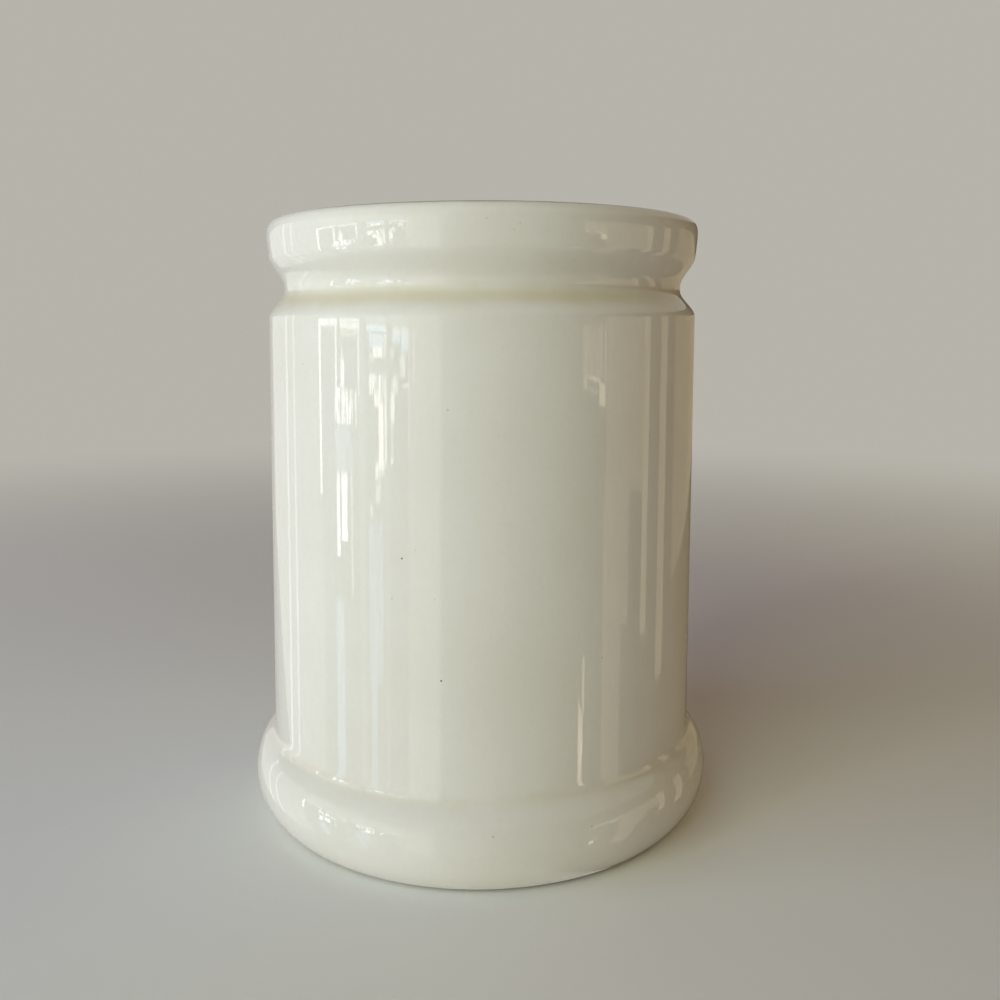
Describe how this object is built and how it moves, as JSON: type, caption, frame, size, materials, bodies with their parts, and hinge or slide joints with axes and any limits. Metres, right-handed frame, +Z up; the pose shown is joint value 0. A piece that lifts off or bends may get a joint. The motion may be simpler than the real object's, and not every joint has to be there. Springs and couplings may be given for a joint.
{
  "type": "ceramic canister",
  "caption": "Open cylindrical canister of cream-glazed stoneware, with a rounded rim band, a smooth groove under it, a straight wall and a thick rounded bead at the foot.",
  "frame": {"origin": "centre of the foot ring's flat underside, on the surface that the pot stands on", "axes": "+Z up along the pot's axis, towards the open mouth; the pot is turned, so +X and +Y are free"},
  "size_m": [0.1322, 0.1322, 0.1662],
  "materials": {
    "bare_stoneware": "unglazed, fired, matte and slightly sandy",
    "cream_outer_glaze": "glossy cream-white glaze, slightly wavy, with a few iron specks",
    "cream_liner_glaze": "glossy cream-white glaze",
    "cream_base_glaze": "glossy cream-white glaze, thinner than outside"
  },
  "bodies": {
    "root": {"clay_body": "bare_stoneware", "outer_glaze": "cream_outer_glaze", "liner_glaze": "cream_liner_glaze", "base_glaze": "cream_base_glaze"}
  },
  "joints": []
}
